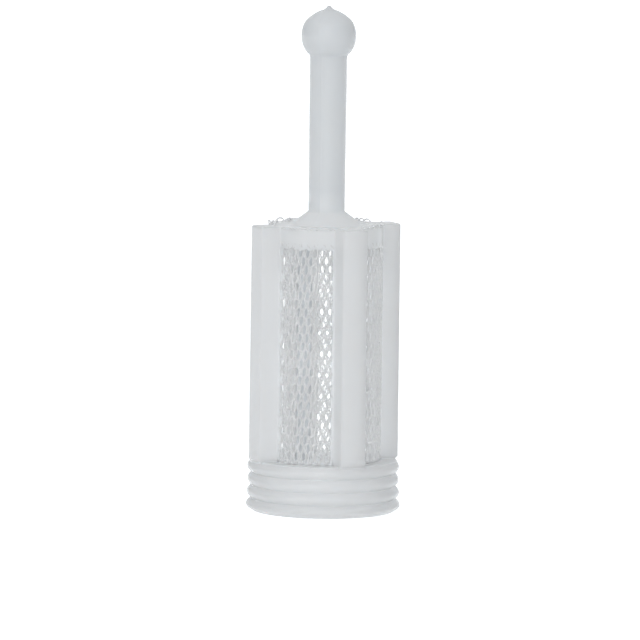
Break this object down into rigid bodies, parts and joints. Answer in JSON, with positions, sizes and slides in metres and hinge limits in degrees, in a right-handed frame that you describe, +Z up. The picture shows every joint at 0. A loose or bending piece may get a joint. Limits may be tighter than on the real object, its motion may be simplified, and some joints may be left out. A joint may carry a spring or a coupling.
{
  "type": "gravity cup paint filter",
  "caption": "Milky plastic paint strainer: ribbed press-in collar, windowed cage lined with a knitted nylon mesh sleeve, and a stem with a pull ball.",
  "frame": {"origin": "centre of the collar's flat bottom face", "axes": "+Z up the stem to the pull ball; the four mesh windows face -Y, +X, +Y and -X"},
  "size_m": [0.022, 0.022, 0.0721],
  "materials": {
    "moulding": "milky, part see-through, satin",
    "mesh": "knitted white monofilament"
  },
  "bodies": {
    "root": {"base_collar": "moulding", "post_front_right": "moulding", "post_back_right": "moulding", "post_back_left": "moulding", "post_front_left": "moulding", "top_cap": "moulding", "handle_stem": "moulding", "handle_ball": "moulding", "mesh_sleeve": "mesh", "mesh_seam": "mesh", "raw_edge_front": "mesh", "raw_edge_right": "mesh", "raw_edge_back": "mesh", "raw_edge_left": "mesh"}
  },
  "joints": []
}
